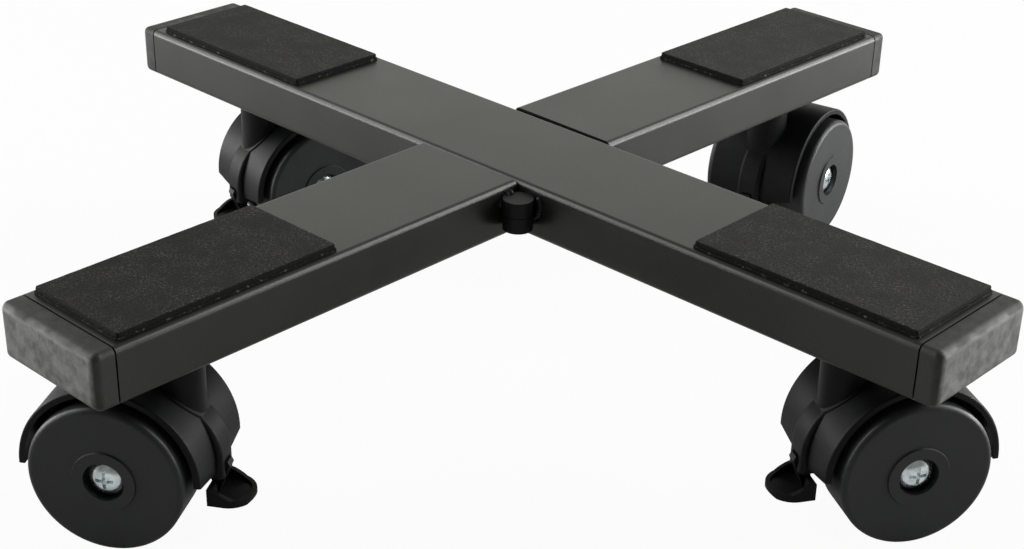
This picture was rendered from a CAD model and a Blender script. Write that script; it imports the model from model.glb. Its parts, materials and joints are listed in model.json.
# Rolling plant stand: materials, foam pads, floor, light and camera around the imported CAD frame
import json
import math

import bmesh
import bpy
from mathutils import Matrix, Vector, noise


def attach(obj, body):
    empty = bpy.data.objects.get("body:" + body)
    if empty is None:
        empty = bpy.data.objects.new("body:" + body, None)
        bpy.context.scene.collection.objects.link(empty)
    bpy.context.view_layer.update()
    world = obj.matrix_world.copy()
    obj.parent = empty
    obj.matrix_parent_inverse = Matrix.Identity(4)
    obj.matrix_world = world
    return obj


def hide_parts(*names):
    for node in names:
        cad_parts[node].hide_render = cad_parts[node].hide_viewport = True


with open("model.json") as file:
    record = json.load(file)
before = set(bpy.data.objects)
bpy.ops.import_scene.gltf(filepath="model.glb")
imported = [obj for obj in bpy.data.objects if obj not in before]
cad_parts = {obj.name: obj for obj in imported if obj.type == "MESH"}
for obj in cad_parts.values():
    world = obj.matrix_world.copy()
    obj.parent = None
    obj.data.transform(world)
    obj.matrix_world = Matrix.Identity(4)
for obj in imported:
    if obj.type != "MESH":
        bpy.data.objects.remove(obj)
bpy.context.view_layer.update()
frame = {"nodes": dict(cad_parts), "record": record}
nodes = frame["nodes"]

# Values shared with the CAD source, in metres and degrees
HINGE = 0.031
BAR_HALF = 0.193
ARM_REACH = 0.199
CROSS_SHIFT = 0.0025
TUBE_TOP = 0.092
PAD_LENGTH = 0.088
PAD_WIDTH = 0.0444
PAD_INSETS = {"front": 0.0023, "right": 0.0024, "rear": 0.0042, "left": 0.0023}
PAD_BASE = 0.0008
PAD_HEIGHT = 0.0026
PAD_STEP = 0.0005
PAD_CORNER = 0.0012
SWINGS = {"right": (0.45, -1), "left": (-0.8, 1)}
OUTWARD = {"front": 0.0, "rear": 180.0, "right": -90.0, "left": 90.0}

# Finer shape of the foam pads, with lengths in metres
PAD_LIFT = 0.00002  # underside of the pad above the tube
LEAST_CORNER = 0.0004
LAYER_SIDE = 0.85  # upright share of the adhesive layer's height
LAYER_BEVEL = 0.0001
FOAM_SWELL = 0.9  # share of the step that is left where the foam stands out most
FOAM_SWELL_RISE = 0.0007  # adhesive layer to that place
FOAM_EDGE = (  # inset from the foam's foot, drop from the pad's height, unevenness
    (0.0, 0.0006, 1.0),
    (0.00015, 0.0002, 1.0),
    (0.0005, 0.00008, 0.5),
)
LUMP_SCALE = 900  # uneven spots per metre
LUMP_DEPTH = 0.00012
LUMP_SINK = 0.00006
LUMP_SEED_STEP = 17.0  # between one pad's unevenness and the next one's
CORNER_STEPS = 5
LONG_SIDE_STEPS = 44
SHORT_SIDE_STEPS = 22

# Floor, in metres, and the share of plain white in what the camera and the reflections see of it
FLOOR_HALF = 4
FLOOR_GREY = (0.52, 0.52, 0.52)
FLOOR_GLOW = {"Is Camera Ray": 0.95, "Is Glossy Ray": 0.05, "Is Transmission Ray": 0.05}

# World light: its strength from the camera's side, from behind the stand and from overhead
SKY_COLOUR = (0.985, 1.0, 0.925)
SKY_NEAR, SKY_BEHIND, SKY_OVERHEAD = 0.22, 1.06, 0.25
AWAY_FROM_CAMERA = (-0.686, 0.728, 0.0)
NEAR_TO_BEHIND = (-0.6, 0.3)  # along that direction
OVERHEAD_RISE = (0.5, 0.85)  # along Z

# Lamps, in metres
SOFTBOX = {"aim": (0, 0, 0.05), "size": (0.75, 0.75)}
STRIP = {"aim": (0, 0, 0.08), "size": (0.9, 0.24)}

# Camera at the photograph's angle, in degrees and metres
AZIMUTH, ELEVATION, ROLL = 43.31, 27.14, 1.22
DISTANCE = 0.71196
TARGET = Vector((-0.00142, -0.00154, 0.0351))
FOCAL = 1818.74  # in pixels of the photograph's frame
FRAME_WIDTH = 1024  # in pixels
SENSOR_WIDTH = 36.0  # in millimetres
CLIP_START = 0.01

# Where most of a noise texture's values lie
NOISE_REACH = (0.3, 0.7)

# Numbers of a Mix node's sockets, whose names repeat for each kind of data
MIX_FACTOR = 0
MIX_NUMBER_A, MIX_NUMBER_B, MIX_NUMBER_RESULT = 2, 3, 0
MIX_COLOUR_A, MIX_COLOUR_B, MIX_COLOUR_RESULT = 6, 7, 2


class Nodes:
    """A node tree and short ways to add nodes to it."""

    def __init__(self, tree):
        self.tree = tree

    def feed(self, socket, value):
        """Link an input to another node's output, or set it to a number, a vector or an opaque colour."""
        if isinstance(value, bpy.types.NodeSocket):
            self.tree.links.new(value, socket)
        elif socket.type == "RGBA":
            socket.default_value = (*value, 1.0)
        else:
            socket.default_value = value

    def node(self, kind, inputs, **settings):
        """New node, with its inputs given by name or by number."""
        made = self.tree.nodes.new(kind)
        for key, value in settings.items():
            setattr(made, key, value)
        for key, value in inputs.items():
            self.feed(made.inputs[key], value)
        return made

    def axis(self, vector, name):
        """One coordinate of a vector."""
        return self.node("ShaderNodeSeparateXYZ", {0: vector}).outputs[name]

    def span(self, source, reach, result=(0.0, 1.0), **settings):
        """Source with the stretch of its values given by reach turned into the one given by result."""
        inputs = {
            "Value": source,
            "From Min": reach[0],
            "From Max": reach[1],
            "To Min": result[0],
            "To Max": result[1],
        }
        return self.node("ShaderNodeMapRange", inputs, **settings).outputs["Result"]


class Shader(Nodes):
    """A principled material and short ways to add texture nodes to it."""

    def __init__(self, name, **inputs):
        self.material = bpy.data.materials.new(name)
        self.material.use_nodes = True
        super().__init__(self.material.node_tree)
        self.bsdf = self.tree.nodes["Principled BSDF"]
        place = self.node("ShaderNodeTexCoord", {})
        self.coords = place.outputs["Object"]
        self.normal = place.outputs["Normal"]
        self.use(**inputs)

    def use(self, **inputs):
        """Feed the principled node, with an underscore for each space in an input's name."""
        for key, value in inputs.items():
            self.feed(self.bsdf.inputs[key.replace("_", " ")], value)
        return self.material

    def noise(self, scale, detail=4.0, roughness=0.5):
        inputs = {"Vector": self.coords, "Scale": scale, "Detail": detail, "Roughness": roughness}
        return self.node("ShaderNodeTexNoise", inputs).outputs["Fac"]

    def cells(self, scale):
        inputs = {"Vector": self.coords, "Scale": scale}
        return self.node("ShaderNodeTexVoronoi", inputs).outputs["Distance"]

    def ramp(self, source, reach, colours):
        """From the first colour to the second one over a stretch of the source's values."""
        made = self.node("ShaderNodeValToRGB", {"Fac": source})
        for element, position, colour in zip(made.color_ramp.elements, reach, colours):
            element.position = position
            element.color = (*colour, 1.0)
        return made.outputs["Color"]

    def mix(self, a, b, factor):
        """Colour a where the factor is 0 and colour b where it is 1."""
        inputs = {MIX_FACTOR: factor, MIX_COLOUR_A: a, MIX_COLOUR_B: b}
        return self.node("ShaderNodeMix", inputs, data_type="RGBA").outputs[MIX_COLOUR_RESULT]

    def add(self, a, b, weight=1.0):
        """a plus the weight times b."""
        inputs = {0: b, 1: weight, 2: a}
        return self.node("ShaderNodeMath", inputs, operation="MULTIPLY_ADD").outputs[0]

    def bump(self, height, distance, strength, after=None):
        """Normal bent by a height texture, on top of an earlier bump where one is given."""
        inputs = {"Height": height, "Distance": distance, "Strength": strength}
        if after is not None:
            inputs["Normal"] = after
        return self.node("ShaderNodeBump", inputs).outputs["Normal"]

    def facing_out(self):
        """1 where the surface faces away from the middle of the stand, near 0 on its sides and top."""
        flat = self.node("ShaderNodeVectorMath", {0: self.coords, 1: (1, 1, 0)}, operation="MULTIPLY")
        outward = self.node("ShaderNodeVectorMath", {0: flat.outputs[0]}, operation="NORMALIZE")
        inputs = {0: outward.outputs[0], 1: self.normal}
        return self.node("ShaderNodeVectorMath", inputs, operation="DOT_PRODUCT").outputs["Value"]


def powder_coat():
    """Satin black coat: fine orange peel, faint cloudiness and a few dust specks."""
    black = ((0.0072, 0.0076, 0.0062), (0.0112, 0.0116, 0.0098))
    dust = (0.09, 0.09, 0.085)
    look = Shader("powder_coat", IOR=1.5, Specular_IOR_Level=0.45)
    cloud = look.noise(scale=22.0, detail=5.0, roughness=0.55)
    fine = look.noise(scale=1500.0, detail=3.0, roughness=0.6)
    specks = look.span(look.cells(scale=260.0), (0.02, 0.06), (0.5, 0.0))
    colour = look.mix(look.ramp(cloud, NOISE_REACH, black), dust, specks)
    sheen = look.span(cloud, NOISE_REACH, (0.33, 0.39))
    rough = look.add(sheen, look.span(fine, NOISE_REACH, (-0.03, 0.03)))
    peel = look.bump(fine, distance=0.00004, strength=0.7)
    wavy = look.bump(look.noise(scale=70.0, detail=1.0), distance=0.0002, strength=0.2, after=peel)
    return look.use(Base_Color=colour, Roughness=rough, Normal=wavy)


def hinge_coat():
    """Thin dull coat over the hinge knuckles and their weld beads."""
    black = ((0.0028, 0.003, 0.0036), (0.0058, 0.006, 0.0068))
    look = Shader("hinge_coat", IOR=1.5, Specular_IOR_Level=0.16)
    cloud = look.noise(scale=160.0, detail=4.0, roughness=0.6)
    fine = look.noise(scale=1500.0, detail=3.0, roughness=0.6)
    colour = look.ramp(cloud, NOISE_REACH, black)
    sheen = look.span(cloud, NOISE_REACH, (0.36, 0.48))
    rough = look.add(sheen, look.span(fine, NOISE_REACH, (-0.04, 0.04)))
    peel = look.bump(fine, distance=0.00004, strength=0.7)
    return look.use(Base_Color=colour, Roughness=rough, Normal=peel)


def cap_plastic():
    """Moulded black plastic with a fine spark-eroded grain, rubbed and scuffed on the outer faces."""
    black = ((0.003, 0.0031, 0.003), (0.008, 0.0082, 0.0078))
    grey = ((0.025, 0.0255, 0.024), (0.115, 0.116, 0.11))
    middle = (0.35, 0.65)
    look = Shader("cap_plastic", IOR=1.5, Specular_IOR_Level=0.5)
    cloud = look.noise(scale=75.0, detail=4.0, roughness=0.55)
    scuffs = look.noise(scale=240.0, detail=6.0, roughness=0.65)
    moulded = look.ramp(cloud, NOISE_REACH, black)
    rubbed = look.ramp(scuffs, (0.36, 0.64), grey)
    colour = look.mix(moulded, rubbed, look.span(look.facing_out(), (0.82, 0.97)))
    sheen = look.span(cloud, middle, (0.5, 0.7))
    rough = look.add(sheen, look.span(scuffs, middle, (-0.1, 0.1)))
    grain = look.bump(look.noise(scale=2600.0, detail=3.0), distance=0.00003, strength=0.6)
    return look.use(Base_Color=colour, Roughness=rough, Normal=grain)


def foam_skin(look, pores, specks):
    """Colour of the foam's upper face: speckled in patches, pitted and a little dusty."""
    black = ((0.006, 0.0059, 0.0055), (0.022, 0.0217, 0.0203))
    pale = (0.125, 0.121, 0.112)
    pit = (0.004, 0.004, 0.004)
    dust = (0.22, 0.22, 0.21)
    # The pads are bleached a little more towards the left arm
    bleach = look.span(look.axis(look.coords, "Y"), (-0.16, 0.16), (0.15, 0.85))
    base = look.ramp(look.add(bleach, look.noise(scale=60.0), weight=0.2), (0.2, 0.9), black)
    speckled = look.mix(base, pale, look.span(specks, (0.52, 0.7), (0.0, 0.85)))
    patches = look.span(look.noise(scale=110.0, detail=3.0), (0.38, 0.6), (0.25, 1.0))
    pitted = look.mix(look.mix(base, speckled, patches), pit, look.span(pores, (0.08, 0.26), (0.85, 0.0)))
    return look.mix(pitted, dust, look.span(look.cells(scale=210.0), (0.02, 0.05), (0.8, 0.0)))


def foam():
    """Closed-cell foam: speckled skin on top, smooth black cut sides, lint along the adhesive layer."""
    cut = (0.0025, 0.0025, 0.0025)
    adhesive = (0.003, 0.003, 0.003)
    lint = (0.16, 0.16, 0.155)
    foam_start = TUBE_TOP + PAD_BASE
    blend_height = 0.0002
    layer_to_foam = (foam_start, foam_start + blend_height)
    look = Shader("foam_pad", IOR=1.45, Specular_IOR_Level=0.2)
    pores = look.cells(scale=1300.0)
    specks = look.noise(scale=1500.0, detail=4.0, roughness=0.75)
    facing_up = look.span(look.axis(look.normal, "Z"), (0.35, 0.8))
    above = look.mix(cut, foam_skin(look, pores, specks), facing_up)
    threads = look.noise(scale=700.0, detail=3.0, roughness=0.6)
    below = look.mix(adhesive, lint, look.span(threads, (0.57, 0.7), (0.0, 0.6)))
    colour = look.mix(below, above, look.span(look.axis(look.coords, "Z"), layer_to_foam))
    rough = look.span(specks, NOISE_REACH, (0.78, 0.95))
    pitted = look.bump(pores, distance=0.00025, strength=0.5)
    uneven = look.bump(specks, distance=0.00025, strength=0.6, after=pitted)
    return look.use(Base_Color=colour, Roughness=rough, Normal=uneven)


def caster_plastic():
    """Black nylon moulding with slight flow marks and a dull, finely textured skin."""
    black = ((0.0032, 0.0035, 0.0036), (0.0066, 0.0071, 0.0072))
    look = Shader("caster_plastic", IOR=1.5, Specular_IOR_Level=0.11)
    flow = look.noise(scale=45.0, detail=5.0, roughness=0.6)
    grain = look.noise(scale=1900.0, detail=3.0)
    colour = look.ramp(flow, NOISE_REACH, black)
    sheen = look.span(flow, NOISE_REACH, (0.38, 0.52))
    rough = look.add(sheen, look.span(grain, NOISE_REACH, (-0.05, 0.05)))
    skin = look.bump(grain, distance=0.00003, strength=0.5)
    wavy = look.bump(look.noise(scale=120.0, detail=2.0), distance=0.0001, strength=0.25, after=skin)
    return look.use(Base_Color=colour, Roughness=rough, Normal=wavy)


def wheel_plastic():
    """Black nylon wheels, paler than the housings and lightly scuffed."""
    black = ((0.0075, 0.008, 0.0088), (0.013, 0.0138, 0.0147))
    look = Shader("wheel_plastic", IOR=1.5, Specular_IOR_Level=0.32)
    scuffs = look.noise(scale=90.0, detail=6.0, roughness=0.65)
    colour = look.ramp(scuffs, (0.35, 0.75), black)
    rough = look.span(scuffs, NOISE_REACH, (0.36, 0.52))
    grain = look.bump(look.noise(scale=1600.0, detail=3.0), distance=0.00003, strength=0.5)
    return look.use(Base_Color=colour, Roughness=rough, Normal=grain)


def zinc():
    """Bright bluish zinc plate with passivation clouding and fine scratches."""
    plate = ((0.50, 0.56, 0.58), (0.84, 0.90, 0.92))
    look = Shader("zinc", Metallic=1.0)
    colour = look.ramp(look.noise(scale=350.0), NOISE_REACH, plate)
    rough = look.span(look.noise(scale=1200.0), NOISE_REACH, (0.14, 0.3))
    scratch = look.bump(look.noise(scale=4000.0, detail=2.0), distance=0.00002, strength=0.5)
    return look.use(Base_Color=colour, Roughness=rough, Normal=scratch)


def floor_look():
    """Matt grey floor that keeps the shadows, with plain white for the rays named in FLOOR_GLOW."""
    look = Shader("floor", Base_Color=FLOOR_GREY, Roughness=0.9, Specular_IOR_Level=0.0)
    path = look.node("ShaderNodeLightPath", {})
    white = 0.0
    for ray, share in FLOOR_GLOW.items():
        seen = look.node("ShaderNodeMath", {0: path.outputs[ray], 1: share}, operation="MULTIPLY")
        white = look.node("ShaderNodeMath", {0: white, 1: seen.outputs[0]}, operation="MAXIMUM").outputs[0]
    glow = look.node("ShaderNodeEmission", {"Color": (1, 1, 1), "Strength": 1.0})
    blend = look.node("ShaderNodeMixShader", {0: white, 1: look.bsdf.outputs[0], 2: glow.outputs[0]})
    look.feed(look.tree.nodes["Material Output"].inputs["Surface"], blend.outputs[0])
    return look.material


def studio_world():
    """Soft light from all around, strongest from behind the stand and weak from overhead."""
    world = bpy.data.worlds.new("studio")
    world.use_nodes = True
    sky = Nodes(world.node_tree)
    direction = sky.node("ShaderNodeTexCoord", {}).outputs["Generated"]
    inputs = {0: direction, 1: AWAY_FROM_CAMERA}
    away = sky.node("ShaderNodeVectorMath", inputs, operation="DOT_PRODUCT").outputs["Value"]
    around = sky.span(away, NEAR_TO_BEHIND, (SKY_NEAR, SKY_BEHIND))
    overhead = sky.span(sky.axis(direction, "Z"), OVERHEAD_RISE, interpolation_type="SMOOTHSTEP")
    inputs = {MIX_FACTOR: overhead, MIX_NUMBER_A: around, MIX_NUMBER_B: SKY_OVERHEAD}
    strength = sky.node("ShaderNodeMix", inputs, data_type="FLOAT").outputs[MIX_NUMBER_RESULT]
    background = sky.tree.nodes["Background"]
    sky.feed(background.inputs["Strength"], strength)
    sky.feed(background.inputs["Color"], SKY_COLOUR)
    return world


def add_object(name, data):
    """New object, linked to the scene."""
    made = bpy.data.objects.new(name, data)
    bpy.context.scene.collection.objects.link(made)
    return made


def end_place(end):
    """Frame at a tube end: origin on the floor below it, X pointing outward."""
    shift = Matrix.Translation((0, -CROSS_SHIFT, 0))
    place = Matrix.Rotation(math.radians(OUTWARD[end]), 4, "Z")
    if end not in SWINGS:
        return shift @ place @ Matrix.Translation((BAR_HALF, 0, 0))
    angle, side = SWINGS[end]
    pivot = Vector((HINGE, side * HINGE, 0))
    turn = Matrix.Rotation(math.radians(angle), 4, "Z")
    swing = Matrix.Translation(pivot) @ turn @ Matrix.Translation(-pivot)
    return shift @ swing @ place @ Matrix.Translation((ARM_REACH, 0, 0))


def pad_outline(inset):
    """Points around a pad with rounded corners, at an inset from the edge of its adhesive layer."""
    x, y = PAD_LENGTH / 2 - inset, PAD_WIDTH / 2 - inset
    r = max(PAD_CORNER - inset, LEAST_CORNER)
    arcs = []
    for quarter, (cx, cy) in enumerate(((x - r, y - r), (r - x, y - r), (r - x, r - y), (x - r, r - y))):
        arc = []
        for k in range(CORNER_STEPS + 1):
            angle = math.radians(90 * quarter + 90 * k / CORNER_STEPS)
            arc.append(Vector((cx + r * math.cos(angle), cy + r * math.sin(angle), 0)))
        arcs.append(arc)
    points = []
    for quarter, arc in enumerate(arcs):
        following = arcs[(quarter + 1) % len(arcs)]
        steps = SHORT_SIDE_STEPS if quarter % 2 else LONG_SIDE_STEPS
        points += arc
        points += [arc[-1].lerp(following[0], k / steps) for k in range(1, steps)]
    return points


def pad_mesh(seed):
    """Foam pad on its adhesive layer, with uneven cut sides and a soft upper edge."""
    rows = [  # inset, height, unevenness
        (0.0, PAD_LIFT, 0.0),
        (0.0, PAD_BASE * LAYER_SIDE, 0.0),
        (LAYER_BEVEL, PAD_BASE, 0.0),
        (PAD_STEP, PAD_BASE, 0.0),
        (PAD_STEP * FOAM_SWELL, PAD_BASE + FOAM_SWELL_RISE, 1.0),
    ]
    rows += [(PAD_STEP + inset, PAD_HEIGHT - drop, uneven) for inset, drop, uneven in FOAM_EDGE]
    solid = bmesh.new()
    rings = []
    for inset, height, uneven in rows:
        ring = []
        for point in pad_outline(inset):
            spot = Vector((point.x * LUMP_SCALE + seed, point.y * LUMP_SCALE, height * LUMP_SCALE))
            outward = Vector((point.x / (PAD_LENGTH / 2), point.y / (PAD_WIDTH / 2), 0))
            shift = outward * ((noise.noise(spot) * LUMP_DEPTH - LUMP_SINK) * uneven)
            ring.append(solid.verts.new(point + shift + Vector((0, 0, height))))
        rings.append(ring)
    for low, high in zip(rings, rings[1:]):
        for k in range(len(low)):
            j = (k + 1) % len(low)
            solid.faces.new((low[k], low[j], high[j], high[k]))
    solid.faces.new(list(reversed(rings[0])))
    top = solid.faces.new(rings[-1])
    bmesh.ops.triangulate(solid, faces=[top])
    solid.normal_update()
    mesh = bpy.data.meshes.new("pad")
    solid.to_mesh(mesh)
    solid.free()
    return mesh


def add_piece(name, mesh, place, body, slot):
    """New piece of the stand, which rides on a CAD body and takes its finish from a material slot."""
    piece = add_object(name, mesh)
    mesh.transform(place)
    mesh.materials.append(materials[slot])
    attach(piece, body)
    return piece


def add_lamp(name, place, aim, size, power):
    """Rectangular lamp that faces its aim, with its power in watts."""
    data = bpy.data.lights.new(name, "AREA")
    data.shape = "RECTANGLE"
    data.size, data.size_y = size
    data.energy = power
    lamp = add_object(name, data)
    lamp.location = place
    lamp.rotation_mode = "QUATERNION"
    lamp.rotation_quaternion = (Vector(aim) - Vector(place)).to_track_quat("-Z", "Y")


def add_camera():
    """Camera that sees the stand as the photograph does."""
    azimuth, elevation, roll = (math.radians(angle) for angle in (AZIMUTH, ELEVATION, ROLL))
    back = Vector((
        math.sin(azimuth) * math.cos(elevation),
        -math.cos(azimuth) * math.cos(elevation),
        math.sin(elevation),
    ))
    level_right = Vector((math.cos(azimuth), math.sin(azimuth), 0))
    right = math.cos(roll) * level_right + math.sin(roll) * back.cross(level_right)
    up = back.cross(right)
    eye = TARGET + back * DISTANCE
    data = bpy.data.cameras.new("camera")
    data.sensor_width = SENSOR_WIDTH
    data.lens = FOCAL / FRAME_WIDTH * SENSOR_WIDTH
    data.clip_start = CLIP_START
    camera = add_object("camera", data)
    turn = Matrix((right, up, back)).transposed().to_4x4()
    camera.matrix_world = Matrix.Translation(eye) @ turn
    return camera


# Materials on the CAD's own pieces
materials = {
    "powder_coat": powder_coat(),
    "cap_plastic": cap_plastic(),
    "foam_pad": foam(),
    "caster_plastic": caster_plastic(),
    "wheel_plastic": wheel_plastic(),
    "zinc": zinc(),
}
hinge_look = hinge_coat()
for entry in frame["record"]["subparts"]:
    look = hinge_look if "knuckle" in entry["node"] else materials[entry["material_slot"]]
    mesh = nodes[entry["node"]].data
    mesh.materials.clear()
    mesh.materials.append(look)

# Foam pads in place of the plain pad solids
for index, end in enumerate(OUTWARD):
    place = end_place(end) @ Matrix.Translation((-PAD_INSETS[end] - PAD_LENGTH / 2, 0, TUBE_TOP))
    body = f"{end}_arm" if end in SWINGS else "frame"
    pad = add_piece(f"{end}_foam_pad", pad_mesh(LUMP_SEED_STEP * index), place, body, "foam_pad")
    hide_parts(f"{end}_pad")

# Floor, light and camera
floor_mesh = bpy.data.meshes.new("floor")
corners = [(x * FLOOR_HALF, y * FLOOR_HALF, 0) for x, y in ((-1, -1), (1, -1), (1, 1), (-1, 1))]
floor_mesh.from_pydata(corners, [], [(0, 1, 2, 3)])
floor_mesh.materials.append(floor_look())
floor = add_object("floor", floor_mesh)
bpy.context.scene.world = studio_world()
add_lamp("left_softbox", place=(-0.80, -0.62, 0.72), power=8.5, **SOFTBOX)
add_lamp("right_softbox", place=(0.62, 0.82, 0.72), power=12.0, **SOFTBOX)
add_lamp("left_strip", place=(-0.80, -0.60, 0.12), power=7.5, **STRIP)
add_lamp("right_strip", place=(0.60, 0.80, 0.12), power=9.5, **STRIP)
bpy.context.scene.camera = add_camera()
bpy.context.scene.view_settings.view_transform = "Standard"
